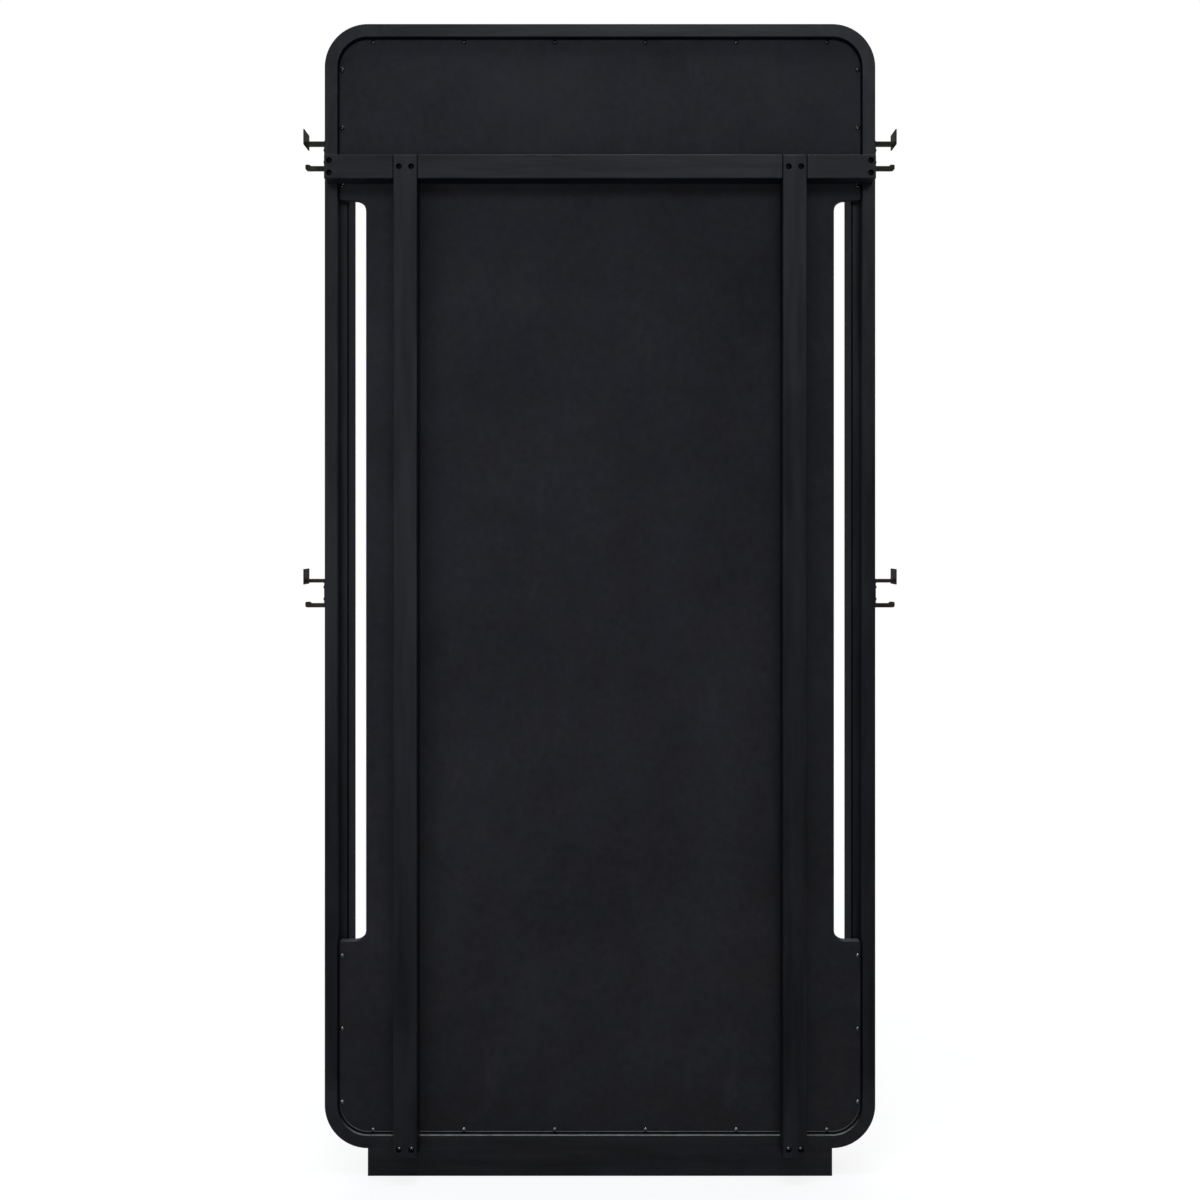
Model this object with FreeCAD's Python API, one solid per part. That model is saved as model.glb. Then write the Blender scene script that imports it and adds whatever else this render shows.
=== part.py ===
import FreeCAD, Part
import math
import os

from FreeCAD import Vector

# A full-length floor mirror. Sizes are in millimetres, +Z is up, and the back faces -Y.
# The origin is on the floor, in the middle of the width and of the depth.
# Left and right are as seen from the back: left is -X.

# Frame
frame_width = 956.0
frame_height = 1952.0
frame_depth = 60.0
frame_corner_radius = 75.0
member_width = 37.5          # of a stile or rail, seen from the front
rebate_width = 15.5          # of the step that the back panel lies on
rebate_depth = 18.5
frame_edge_chamfer = 0.5
corner_leg = 45.0            # straight stretch at each end of a corner block

# Loose tenons, one in each joint of the frame
tenon_depth = 40.0           # from the frame's back to the tenon's middle
tenon_width = 26.0
tenon_thickness = 10.0
tenon_length = 40.0
tenon_clearance = 0.2        # all round, in its mortises
tenon_end_room = 1.0

# Back panel
panel_thickness = 12.0
panel_gap = 1.5              # to the rebate's wall, all round
slot_width = 32.5            # open slot between the panel and a stile
slot_top_drop = 303.0        # from the frame's top edge
slot_bottom_rise = 356.0     # from the frame's bottom edge
slot_corner_radius = 20.0
ear_corner_radius = 3.0

# Screw pattern of the back panel
panel_row_count = 6
panel_row_inset = 82.5       # from the frame's side to the first screw of a row
panel_column_count = 3
panel_column_inset = 77.0    # from the frame's top or bottom edge to the first screw of a column
panel_column_margin = 24.0   # from a column's last screw to the slot
panel_screw_margin = 5.0     # from the panel's edge

# Mirror glass and its mounting tape
glass_thickness = 4.0
glass_gap = 3.0              # to the top and bottom rails
glass_side_inset = 1.0       # from the narrow part of the panel
glass_corner_chamfer = 2.0
tape_thickness = 1.0
tape_width = 25.0
tape_count = 5
tape_side_inset = 60.0       # from the glass's side to the middle of the first strip
tape_end_inset = 50.0

# Battens: the cross rail and the two braces
batten_width = 41.0
batten_thickness = 25.0
batten_edge_chamfer = 1.0
cross_rail_drop = 237.0      # from the frame's top edge to the rail's top edge
cross_rail_end_inset = 6.0   # from the frame's side
brace_inset = 145.0          # from the frame's side to a brace's middle
lap_depth = 12.5             # of the notch in the cross rail
lap_gap = 0.2                # at each side of a lapped brace
batten_screw_edge = 15.0     # from the frame's outer edge
batten_screw_spacing = 21.0

# Base
base_height = 48.0
base_depth = 60.0
base_end_inset = 75.0        # from the frame's side
base_edge_chamfer = 0.6

# Hooks
hook_depth = 16.0            # from the frame's back to the hook's middle
upper_hook_rise = 13.5       # from the cross rail's top edge to the hook's middle
lower_hook_drop = 989.0      # from the frame's top edge to the hook's middle
hook_reach = 38.0
hook_arm_spacing = 43.0
hook_plate_width = 20.0
hook_plate_thickness = 3.0
hook_plate_chamfer = 2.0
upper_arm_width = 10.0
upper_arm_thickness = 6.2
lower_arm_width = 7.0
lower_arm_thickness = 7.4
arm_root_radius = 3.5
end_plate_width = 28.0
end_plate_height = 27.0
end_plate_thickness = 2.0
end_plate_overhang = 6.0     # below the middle of the upper arm
end_plate_chamfer = 1.0
tip_rise = 2.4               # of the lower arm's tip above the arm
tip_length = 7.0
tip_radius = 2.0
tip_slope = 3.0              # length of the slope from the arm up to the tip
hook_screw_spacing = 21.0

# Screws, shown by the heads that lie on their seats: diameters and heights
panel_screw_head = 8.0
panel_screw_head_height = 2.6
batten_screw_head = 8.0
batten_screw_head_height = 2.4
batten_screw_room = 1.2      # between a head and its recess, on the diameter
batten_screw_recess = 4.0
hook_screw_head = 7.5
hook_screw_head_height = 4.0

# Places that follow from the sizes above
half_width = frame_width / 2
frame_bottom = base_height
frame_top = frame_bottom + frame_height
frame_middle = (frame_bottom + frame_top) / 2
frame_back = (batten_thickness - frame_depth) / 2
batten_back = frame_back - batten_thickness
back_face_width = member_width - rebate_width
rebate_floor = frame_back + rebate_depth
panel_back = rebate_floor - panel_thickness
panel_screw_edge = back_face_width + panel_gap + panel_screw_margin
opening_half_width = half_width - member_width
panel_half_width = half_width - back_face_width - panel_gap
panel_bottom = frame_bottom + back_face_width + panel_gap
panel_top = frame_top - back_face_width - panel_gap
panel_corner_radius = frame_corner_radius - back_face_width - panel_gap
narrow_half_width = opening_half_width - slot_width
slot_bottom = frame_bottom + slot_bottom_rise
slot_top = frame_top - slot_top_drop
glass_half_width = narrow_half_width - glass_side_inset
glass_bottom = frame_bottom + member_width + glass_gap
glass_top = frame_top - member_width - glass_gap
tape_front = rebate_floor + tape_thickness
cross_rail_top = frame_top - cross_rail_drop
cross_rail_middle = cross_rail_top - batten_width / 2
cross_rail_half_length = half_width - cross_rail_end_inset
brace_offset = half_width - brace_inset
base_half_width = half_width - base_end_inset
hook_middle_y = frame_back + hook_depth
upper_hook_height = cross_rail_top + upper_hook_rise
lower_hook_height = frame_top - lower_hook_drop

BACKWARD = Vector(0, -1, 0)
OUTWARD = Vector(1, 0, 0)
SIDES = (-1, 1)


def rounded_face(corners, place):
    """A flat face. Its corners are (a, b, radius), and place turns (a, b) into a point."""
    points = [Vector(a, b, 0) for a, b, _ in corners]
    edges = []
    stretches = []
    for index, (_, _, radius) in enumerate(corners):
        corner = points[index]
        before = (points[index - 1] - corner).normalize()
        after = (points[(index + 1) % len(points)] - corner).normalize()
        half_angle = before.getAngle(after) / 2
        start = corner + before * (radius / math.tan(half_angle))
        end = corner + after * (radius / math.tan(half_angle))
        middle = corner + (before + after).normalize() * (radius / math.sin(half_angle) - radius)
        stretches.append((radius, [place(point.x, point.y) for point in (start, middle, end)]))
    for index, (radius, (start, middle, end)) in enumerate(stretches):
        if radius:
            edges.append(Part.Arc(start, middle, end).toShape())
        next_start = stretches[(index + 1) % len(stretches)][1][0]
        if not end.isEqual(next_start, Part.Precision.confusion()):
            edges.append(Part.LineSegment(end, next_start).toShape())
    return Part.Face(Part.Wire(edges))


def rectangle(a_low, b_low, a_high, b_high, size):
    """The corners of a rectangle, all with one radius or one chamfer."""
    return [(a_low, b_low, size), (a_high, b_low, size), (a_high, b_high, size), (a_low, b_high, size)]


def spread(first, last, count):
    """Evenly spaced places from first to last."""
    return [first + (last - first) * index / (count - 1) for index in range(count)]


def to_right(shape):
    """The shape's mirror image across the middle of the width."""
    return shape.mirror(Vector(0, 0, 0), Vector(1, 0, 0))


def to_top(shape):
    """The shape's mirror image across the middle of the frame's height."""
    return shape.mirror(Vector(0, 0, frame_middle), Vector(0, 0, 1))


def chamfered(corners):
    """Corner points in which each corner (a, b, cut) gives way to a flat of equal legs."""
    points = []
    for index, (a, b, cut) in enumerate(corners):
        if not cut:
            points.append((a, b, 0))
            continue
        for side_a, side_b, _ in (corners[index - 1], corners[(index + 1) % len(corners)]):
            share = cut / math.dist((a, b), (side_a, side_b))
            points.append((a + (side_a - a) * share, b + (side_b - b) * share, 0))
    return points


def screw_head(seat, outward, diameter, height):
    """The head of a screw, on its seat."""
    return Part.makeCylinder(diameter / 2, height, seat, outward)


def frame_section(place):
    """The frame's section: a is measured in from its outer side, b forward from its back."""
    return rounded_face(chamfered([
        (0, 0, frame_edge_chamfer),
        (back_face_width, 0, frame_edge_chamfer),
        (back_face_width, rebate_depth, 0),
        (member_width, rebate_depth, 0),
        (member_width, frame_depth, frame_edge_chamfer),
        (0, frame_depth, frame_edge_chamfer),
    ]), place)


def left_section(height):
    """The section of the left stile at a height."""
    return frame_section(lambda a, b: Vector(a - half_width, frame_back + b, height))


def bottom_section(x):
    """The section of the bottom rail at a place across the width."""
    return frame_section(lambda a, b: Vector(x, frame_back + b, frame_bottom + a))


def left_stile():
    start = frame_bottom + frame_corner_radius + corner_leg
    return left_section(start).extrude(Vector(0, 0, 2 * (frame_middle - start)))


def bottom_rail():
    start = frame_corner_radius + corner_leg - half_width
    return bottom_section(start).extrude(Vector(-2 * start, 0, 0))


def bottom_left_corner():
    """A quarter ring with a straight leg at each end."""
    centre = Vector(frame_corner_radius - half_width, 0, frame_bottom + frame_corner_radius)
    ring = left_section(centre.z).revolve(centre, Vector(0, -1, 0), 90)
    upright_leg = left_section(centre.z).extrude(Vector(0, 0, corner_leg))
    lying_leg = bottom_section(centre.x).extrude(Vector(corner_leg, 0, 0))
    return ring.fuse([upright_leg, lying_leg]).removeSplitter()


def corner_tenons(clearance, end_room):
    """The two loose tenons of the bottom left corner, or with room round them their mortises."""
    reach = frame_corner_radius + corner_leg
    length = tenon_length + 2 * end_room
    width = tenon_width + 2 * clearance
    thickness = tenon_thickness + 2 * clearance
    back = frame_back + tenon_depth - width / 2
    across = (member_width - thickness) / 2
    along = reach - length / 2
    upright = Part.makeBox(thickness, width, length, Vector(across - half_width, back, frame_bottom + along))
    lying = Part.makeBox(length, width, thickness, Vector(along - half_width, back, frame_bottom + across))
    return [upright, lying]


def in_all_corners(solids):
    """The solids of the bottom left corner, repeated in the other three."""
    lower = solids + [to_right(solid) for solid in solids]
    return lower + [to_top(solid) for solid in lower]


def panel_screw_seats():
    """Seats on the back panel, along its edges."""
    low_row = frame_bottom + panel_screw_edge
    high_row = frame_top - panel_screw_edge
    row_end = half_width - panel_row_inset
    seats = []
    for x in spread(-row_end, row_end, panel_row_count):
        seats += [(x, low_row), (x, high_row)]
    columns = [
        (frame_bottom + panel_column_inset, slot_bottom - panel_column_margin),
        (frame_top - panel_column_inset, slot_top + panel_column_margin),
    ]
    for side in SIDES:
        x = side * (half_width - panel_screw_edge)
        for first, last in columns:
            seats += [(x, z) for z in spread(first, last, panel_column_count)]
    return [Vector(x, panel_back, z) for x, z in seats]


def back_panel():
    """A board with full-width ends and a narrow middle that leaves a slot beside each stile."""
    left_edge = [
        (-panel_half_width, panel_bottom, panel_corner_radius),
        (-panel_half_width, slot_bottom, ear_corner_radius),
        (-narrow_half_width, slot_bottom, slot_corner_radius),
        (-narrow_half_width, slot_top, slot_corner_radius),
        (-panel_half_width, slot_top, ear_corner_radius),
        (-panel_half_width, panel_top, panel_corner_radius),
    ]
    right_edge = [(-a, b, radius) for a, b, radius in reversed(left_edge)]
    outline = rounded_face(left_edge + right_edge, lambda a, b: Vector(a, panel_back, b))
    return outline.extrude(Vector(0, panel_thickness, 0))


def mirror_glass():
    corners = rectangle(-glass_half_width, glass_bottom, glass_half_width, glass_top, glass_corner_chamfer)
    outline = rounded_face(chamfered(corners), lambda a, b: Vector(a, tape_front, b))
    return outline.extrude(Vector(0, glass_thickness, 0))


def mirror_tape():
    """Upright strips between the panel and the glass."""
    first = glass_half_width - tape_side_inset
    bottom = glass_bottom + tape_end_inset
    length = glass_top - tape_end_inset - bottom
    starts = [middle - tape_width / 2 for middle in spread(-first, first, tape_count)]
    return [Part.makeBox(tape_width, tape_thickness, length, Vector(x, rebate_floor, bottom)) for x in starts]


def batten_section(place):
    """The section of a batten: a runs across its width, b forward from its back."""
    half = batten_width / 2
    return rounded_face(chamfered(rectangle(-half, 0, half, batten_thickness, batten_edge_chamfer)), place)


def cross_rail():
    """A batten across both stiles, notched at its back for the two braces."""
    end = -cross_rail_half_length
    section = batten_section(lambda a, b: Vector(end, batten_back + b, cross_rail_middle + a))
    rail = section.extrude(Vector(-2 * end, 0, 0))
    notch_width = batten_width + 2 * lap_gap
    bottom = cross_rail_top - batten_width
    starts = [side * brace_offset - notch_width / 2 for side in SIDES]
    return rail.cut([
        Part.makeBox(notch_width, lap_depth, batten_width, Vector(x, batten_back, bottom))
        for x in starts
    ])


def brace(side):
    """An upright batten from the frame's bottom edge, lapped over the cross rail at its top."""
    middle = side * brace_offset
    section = batten_section(lambda a, b: Vector(middle + a, batten_back + b, frame_bottom))
    upright = section.extrude(Vector(0, 0, cross_rail_top - frame_bottom))
    lap = Part.makeBox(batten_width, batten_thickness, batten_width + lap_gap,
                       Vector(middle - batten_width / 2, batten_back + lap_depth,
                              cross_rail_top - batten_width - lap_gap))
    return upright.cut(lap)


def pairs(middle, spacing):
    """Two places, spacing apart, about a middle."""
    return [middle - spacing / 2, middle + spacing / 2]


def cross_rail_screw_seats():
    seat = batten_back + batten_screw_recess
    x = half_width - batten_screw_edge
    heights = pairs(cross_rail_middle, batten_screw_spacing)
    return [Vector(side * x, seat, z) for side in SIDES for z in heights]


def brace_screw_seats(height):
    """Seats side by side on both braces at a height."""
    seat = batten_back + batten_screw_recess
    return [
        Vector(x, seat, height)
        for side in SIDES
        for x in pairs(side * brace_offset, batten_screw_spacing)
    ]


def batten_heads(seats):
    return [screw_head(seat, BACKWARD, batten_screw_head, batten_screw_head_height) for seat in seats]


def batten_recesses(seats):
    """The round recesses in which the heads of batten screws lie."""
    radius = (batten_screw_head + batten_screw_room) / 2
    return [Part.makeCylinder(radius, batten_screw_recess, seat, BACKWARD) for seat in seats]


def base():
    """A board under the frame, with its back in line with the frame's back."""
    corners = chamfered(rectangle(0, 0, base_depth, base_height, base_edge_chamfer))
    section = rounded_face(corners, lambda a, b: Vector(-base_half_width, frame_back + a, b))
    return section.extrude(Vector(2 * base_half_width, 0, 0))


def hook_arm(corners, middle, arm_width):
    """A flat arm cut along its outline: a is measured out from the stile, b up from the hook's middle."""
    near_side = hook_middle_y - arm_width / 2
    outline = rounded_face(corners, lambda a, b: Vector(half_width + a, near_side, middle + b))
    return outline.extrude(Vector(0, arm_width, 0))


def upper_arm(middle):
    """The upper arm, from the mounting plate out to the end plate."""
    top = hook_arm_spacing / 2 + upper_arm_thickness / 2
    bottom = top - upper_arm_thickness
    end = hook_reach - end_plate_thickness
    return hook_arm([
        (0, top, 0),
        (end, top, 0),
        (end, bottom, 0),
        (hook_plate_thickness, bottom, arm_root_radius),
        (hook_plate_thickness, 0, 0),
        (0, 0, 0),
    ], middle, upper_arm_width)


def lower_arm(middle):
    """The lower arm, with a small upturned tip."""
    bottom = -hook_arm_spacing / 2 - lower_arm_thickness / 2
    top = bottom + lower_arm_thickness
    tip_top = top + tip_rise
    tip_start = hook_reach - tip_length
    return hook_arm([
        (0, bottom, 0),
        (hook_reach, bottom, lower_arm_thickness / 2),
        (hook_reach, tip_top, tip_radius),
        (tip_start, tip_top, tip_radius),
        (tip_start - tip_slope, top, arm_root_radius),
        (hook_plate_thickness, top, arm_root_radius),
        (hook_plate_thickness, 0, 0),
        (0, 0, 0),
    ], middle, lower_arm_width)


def hook_plate(middle):
    """The mounting plate on the stile's side, as tall as the two arms."""
    top = middle + (hook_arm_spacing + upper_arm_thickness) / 2
    bottom = middle - (hook_arm_spacing + lower_arm_thickness) / 2
    near_side = hook_middle_y - hook_plate_width / 2
    far_side = hook_middle_y + hook_plate_width / 2
    corners = rectangle(near_side, bottom, far_side, top, hook_plate_chamfer)
    outline = rounded_face(chamfered(corners), lambda a, b: Vector(half_width, a, b))
    return outline.extrude(Vector(hook_plate_thickness, 0, 0))


def end_plate(middle):
    """The plate at the end of the upper arm."""
    bottom = middle + hook_arm_spacing / 2 - end_plate_overhang
    near_side = hook_middle_y - end_plate_width / 2
    far_side = hook_middle_y + end_plate_width / 2
    corners = rectangle(near_side, bottom, far_side, bottom + end_plate_height, end_plate_chamfer)
    outline = rounded_face(chamfered(corners), lambda a, b: Vector(half_width + hook_reach, a, b))
    return outline.extrude(Vector(-end_plate_thickness, 0, 0))


def hook_screw_seats(height):
    x = half_width + hook_plate_thickness
    return [Vector(x, hook_middle_y, z) for z in pairs(height, hook_screw_spacing)]


def right_hook(middle):
    """A double hook on the right stile, in one casting."""
    pieces = [upper_arm(middle), lower_arm(middle), end_plate(middle)]
    return hook_plate(middle).fuse(pieces).removeSplitter()


def frame_pieces():
    """The four straight members and the four corner blocks, with mortises for the loose tenons."""
    low_left = bottom_left_corner()
    low_right = to_right(low_left)
    stile = left_stile()
    rail = bottom_rail()
    pieces = {
        "frame_left_stile": stile,
        "frame_right_stile": to_right(stile),
        "frame_bottom_rail": rail,
        "frame_top_rail": to_top(rail),
        "frame_bottom_left_corner": low_left,
        "frame_bottom_right_corner": low_right,
        "frame_top_left_corner": to_top(low_left),
        "frame_top_right_corner": to_top(low_right),
    }
    mortises = in_all_corners(corner_tenons(tenon_clearance, tenon_end_room))
    return {name: [piece.cut(mortises)] for name, piece in pieces.items()}


def build():
    """All sub-parts: name to a list of solids."""
    rail_seats = cross_rail_screw_seats()
    lap_seats = brace_screw_seats(cross_rail_middle)
    foot_seats = brace_screw_seats(frame_bottom + batten_screw_edge)
    hook_heights = {"upper": upper_hook_height, "lower": lower_hook_height}
    hook_seats = [seat for height in hook_heights.values() for seat in hook_screw_seats(height)]
    right_heads = [screw_head(seat, OUTWARD, hook_screw_head, hook_screw_head_height) for seat in hook_seats]

    nodes = frame_pieces()
    nodes["frame_tenons"] = in_all_corners(corner_tenons(0, 0))
    nodes["back_panel"] = [back_panel()]
    nodes["panel_screws"] = [screw_head(seat, BACKWARD, panel_screw_head, panel_screw_head_height)
                             for seat in panel_screw_seats()]
    nodes["mirror_glass"] = [mirror_glass()]
    nodes["mirror_tape"] = mirror_tape()
    nodes["cross_rail"] = [cross_rail().cut(batten_recesses(rail_seats))]
    for name, side in (("left_brace", -1), ("right_brace", 1)):
        nodes[name] = [brace(side).cut(batten_recesses(lap_seats + foot_seats))]
    nodes["cross_rail_screws"] = batten_heads(rail_seats)
    nodes["brace_lap_screws"] = batten_heads(lap_seats)
    nodes["brace_foot_screws"] = batten_heads(foot_seats)
    nodes["base"] = [base()]
    for level, height in hook_heights.items():
        hook = right_hook(height)
        nodes[level + "_right_hook"] = [hook]
        nodes[level + "_left_hook"] = [to_right(hook)]
    nodes["hook_screws"] = right_heads + [to_right(head) for head in right_heads]
    return nodes


os.makedirs("parts", exist_ok=True)
for node_name, node_solids in build().items():
    solids = [solid for shape in node_solids for solid in shape.Solids]
    shape = solids[0] if len(solids) == 1 else Part.makeCompound(solids)
    shape.exportStep(os.path.join("parts", node_name + ".step"))
    print(node_name, len(solids), "solids", all(solid.isValid() for solid in solids))
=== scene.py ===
import math
import random

import bmesh
import bpy
from mathutils import Matrix, Vector


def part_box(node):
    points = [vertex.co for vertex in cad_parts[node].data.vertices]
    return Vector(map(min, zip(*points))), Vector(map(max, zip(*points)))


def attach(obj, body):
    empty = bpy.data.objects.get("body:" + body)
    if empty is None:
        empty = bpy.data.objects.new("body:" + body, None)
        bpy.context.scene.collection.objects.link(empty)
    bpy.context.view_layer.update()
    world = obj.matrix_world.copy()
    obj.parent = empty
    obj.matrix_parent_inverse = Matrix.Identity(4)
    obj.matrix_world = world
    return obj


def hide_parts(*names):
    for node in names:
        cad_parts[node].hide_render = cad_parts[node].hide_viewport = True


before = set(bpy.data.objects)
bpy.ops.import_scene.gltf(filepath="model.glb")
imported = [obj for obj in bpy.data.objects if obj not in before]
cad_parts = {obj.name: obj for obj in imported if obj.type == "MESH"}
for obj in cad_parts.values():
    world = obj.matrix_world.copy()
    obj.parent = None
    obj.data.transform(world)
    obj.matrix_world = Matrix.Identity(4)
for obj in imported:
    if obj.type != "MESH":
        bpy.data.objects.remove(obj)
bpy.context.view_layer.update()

# A full-length floor mirror seen from its back. Lengths are in metres, +Z is up, and the back faces -Y.
# Places come from the boxes of the CAD nodes, and what the boxes don't tell is named here.

# Frame
frame_corner_radius = 0.075
rebate_width = 0.0155
rebate_depth = 0.0185
frame_edge_radius = 0.0006
frame_corner_steps = 28
seam_inset = 0.0009          # from the opening's side to the seam in the rebate's floor
seam_width = 0.0026
seam_depth = 0.008

# Back panel
slot_width = 0.0325
slot_top_drop = 0.303        # from the frame's top edge
slot_bottom_rise = 0.356     # from the frame's bottom edge
slot_corner_radius = 0.020
ear_corner_radius = 0.003
panel_edge_radius = 0.0007
panel_arc_steps = 10

# Mirror glass
glass_corner_radius = 0.002
glass_edge_flat = 0.0008
face_on = 0.9                # of a normal along Y, on the glass's two large faces

# Battens and base
batten_corner_radius = 0.0020
batten_edge_radius = 0.0015
base_corner_radius = 0.0003
base_edge_radius = 0.0002
lap_depth = 0.0125
lap_gap = 0.0002
recess_diameter = 0.0092
recess_depth = 0.004
recess_flare = 0.0006
cutter_reach = 0.002         # of a cutter, past the surface that it cuts

# Screw heads. The crown is the domed share of a head's height.
panel_head_form = {"diameter": 0.008, "height": 0.0026, "crown": 0.8}
batten_head_form = {"diameter": 0.008, "height": 0.0016, "crown": 0.5}
foot_head_form = {"diameter": 0.008, "height": 0.0028, "crown": 0.8}
hook_head_form = {"diameter": 0.0075, "height": 0.004, "crown": 0.9}
head_steps = 28
head_rings = 5
head_side_share = 0.6        # of the undomed height that is upright
cross_width_share = 0.16     # of a cross recess's arm, as a share of the head's diameter
cross_length_share = 0.56
cross_taper = 0.6            # of the recess's bottom, as a share of its mouth
cross_depth_share = 0.62     # of the recess, as a share of the head's height
screw_spacing_least = 0.012  # nearer vertices belong to one screw
screw_turn_seed = 7

# Hooks, measured from the stile's side and from the hook's middle
hook_reach = 0.038
hook_arm_spacing = 0.043
hook_plate_width = 0.020
hook_plate_thickness = 0.003
hook_plate_radius = 0.003
upper_arm_width = 0.010
upper_arm_thickness = 0.0062
lower_arm_width = 0.007
lower_arm_thickness = 0.0074
arm_edge_radius = 0.0007
arm_root_radius = 0.0035
end_plate_width = 0.028
end_plate_height = 0.027
end_plate_thickness = 0.002
end_plate_overhang = 0.006
end_plate_radius = 0.001
plate_edge_radius = 0.0006
tip_rise = 0.0024
tip_length = 0.007
tip_radius = 0.002
tip_slope = 0.003

# Rounding and shading of meshes
arc_steps = 6                # of a rounded corner in an outline
edge_steps = 3               # of a rounded edge
inset_cosine_least = 0.3     # at an outline's sharpest corner
sharp_angle = math.radians(40)
second_slot = 1              # for a piece's second material

# Places in the frame
left_stile_low, left_stile_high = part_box("frame_left_stile")
bottom_rail_low, bottom_rail_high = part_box("frame_bottom_rail")
_, top_rail_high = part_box("frame_top_rail")
panel_low, panel_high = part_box("back_panel")
half_width = -left_stile_low.x
frame_back = left_stile_low.y
frame_depth = left_stile_high.y - left_stile_low.y
frame_bottom = bottom_rail_low.z
frame_top = top_rail_high.z
member_width = left_stile_high.x - left_stile_low.x
back_face_width = member_width - rebate_width
slot_bottom = frame_bottom + slot_bottom_rise
slot_top = frame_top - slot_top_drop
panel_corner_radius = frame_corner_radius - (half_width + panel_low.x)

# Noise over the surfaces
wood_grain = {"scale": 9.0, "detail": 7.0, "roughness": 0.62}
paint_cloud = {"scale": 5.0, "detail": 3.0}
paint_speck = {"scale": 700.0, "detail": 2.0, "roughness": 0.7}
tint_patch = {"scale": 13.0, "detail": 3.0}
dust_and_highlight_patch = {"scale": 60.0, "detail": 5.0}
board_cloud = {"scale": 3.0, "detail": 9.0, "roughness": 0.72}
board_mottle = {"scale": 75.0, "detail": 3.0, "roughness": 0.6}
board_felt = {"scale": 420.0, "detail": 3.0, "roughness": 0.7}
board_scuff = {"scale": 14.0, "detail": 6.0, "roughness": 0.7, "stretch": (1.0, 1.0, 0.25)}
metal_cloud = {"scale": 90.0, "detail": 5.0, "roughness": 0.6}
metal_grit = {"scale": 1400.0, "detail": 3.0, "roughness": 0.6}
mirror_film = {"scale": 6.0, "detail": 6.0, "roughness": 0.65}
glass_cloud = {"scale": 60.0}
backing_cloud = {"scale": 8.0, "detail": 5.0}
foam_cells = {"scale": 900.0, "detail": 2.0}
wood_streak = {"scale": 26.0, "detail": 6.0, "stretch": (1.0, 1.0, 0.2)}
floor_cloud = {"scale": 2.0}
grain_along_z = (6.0, 6.0, 0.5)
grain_along_x = (0.5, 6.0, 6.0)
grain_all_ways = (3.0, 3.0, 3.0)

# Spans of a noise, or of a normal, over which a material changes
usual_span = (0.3, 0.7)
wood_span = (0.38, 0.62)
fleck_span = (0.66, 0.80)
board_span = (0.37, 0.63)
scuff_span = (0.60, 0.78)
metal_span = (0.35, 0.66)
tint_span = (0.42, 0.58)
ledge_facing = (0.4, 0.97)   # of a normal along Z, from a bare face to one fully dusty and painted with a highlight
wall_facing = (-0.95, -0.5)  # of a normal along Y, from a back face to a wall of the rebate

# Relief, as (depth, strength)
grain_relief = (0.0006, 0.30)
speck_relief = (0.0002, 0.10)
felt_relief = (0.0003, 0.18)
foam_relief = (0.0003, 0.4)
streak_relief = (0.0003, 0.3)
grit_depth = 0.0002

# Black paint
wood_shares = (0.55, 0.45)   # of grain and cloud in the colour
gloss_shares = (0.5, 0.5)    # of cloud and grain in the gloss
wood_gloss_spread = (-0.07, 0.09)
sheen_spread = (0.82, 1.18)
fleck_share = 0.35
fleck_gain = 4.0
warm_tint = (1.0, 0.965, 0.95)
cool_tint = (0.945, 0.965, 1.0)
frame_tones = ((0.0027, 0.0030, 0.0046), (0.0061, 0.0067, 0.0094))
# The faces beside the opening take a paler, matt copy of the black paint: a painted sheen for the glancing
# light they catch
inner_sheen_tones = ((0.0130, 0.0140, 0.0170), (0.0190, 0.0200, 0.0250))
batten_tones = ((0.0028, 0.0032, 0.0048), (0.0063, 0.0070, 0.0098))
frame_finish = {"tones": frame_tones, "gloss": 0.45, "specular": 0.25}
inner_sheen_finish = {"tones": inner_sheen_tones, "gloss": 0.75, "specular": 0.02}
batten_finish = {"tones": batten_tones, "gloss": 0.48, "specular": 0.25}
# Painted light: a paler colour for the walls of a stile's rebate beside the slots, for the light they catch
painted_wall_light = (0.0080, 0.0085, 0.0105)
wall_light_fade = 0.01             # length over which the painted wall light ends

# Dusty ledges with a painted highlight from light above, and paling near the floor
dust_and_highlight_colour = (0.31, 0.30, 0.30)
dust_and_highlight_patchiness = (0.6, 1.0)
frame_dust_and_highlight = 0.72
panel_dust_and_highlight = 0.18
ledge_full_cover = 0.0028         # depth of the dusty, painted-highlight part of the rebate's lower wall, from the frame's back
ledge_no_cover = 0.0038
frame_ledge = (frame_back + ledge_full_cover, frame_back + ledge_no_cover)
whole_depth = (0.0, 1.0)     # places along Y, from the full dusty highlight to none
# How much paler the paint is towards the floor
floor_paling = 0.029
brace_paling = 0.014
paling_span = (0.0, 0.30)      # heights, from full paling to none

# Back panel's board
board_tones = ((0.0085, 0.0088, 0.0109), (0.0174, 0.0180, 0.0215))
board_shares = (0.6, 0.25, 0.15)  # of cloud, mottle and felt in the colour
board_roughness = (0.62, 0.78)
board_specular = 0.12
scuff_share = 0.22
scuff_gain = 2.2
rim_wear_and_highlight_colour = (0.20, 0.20, 0.20)
rim_line_inset = 0.0007          # of the paler line along the lower rim, wear with a painted highlight
rim_line_width = 0.0025
rim_line_top = 0.125             # height at which the line has faded out
rim_line_patchiness = (0.5, 1.0)

# Metals
black_screw_finish = {"tones": ((0.036, 0.036, 0.038), (0.072, 0.072, 0.075)), "gloss": 0.13, "grit": 0.03}
# A brighter copy of the black screws' finish for the lower screws: painted highlights for the light they
# catch there
lit_screw_finish = {"tones": ((0.16, 0.16, 0.165), (0.30, 0.30, 0.31)), "gloss": 0.16, "grit": 0.03}
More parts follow.
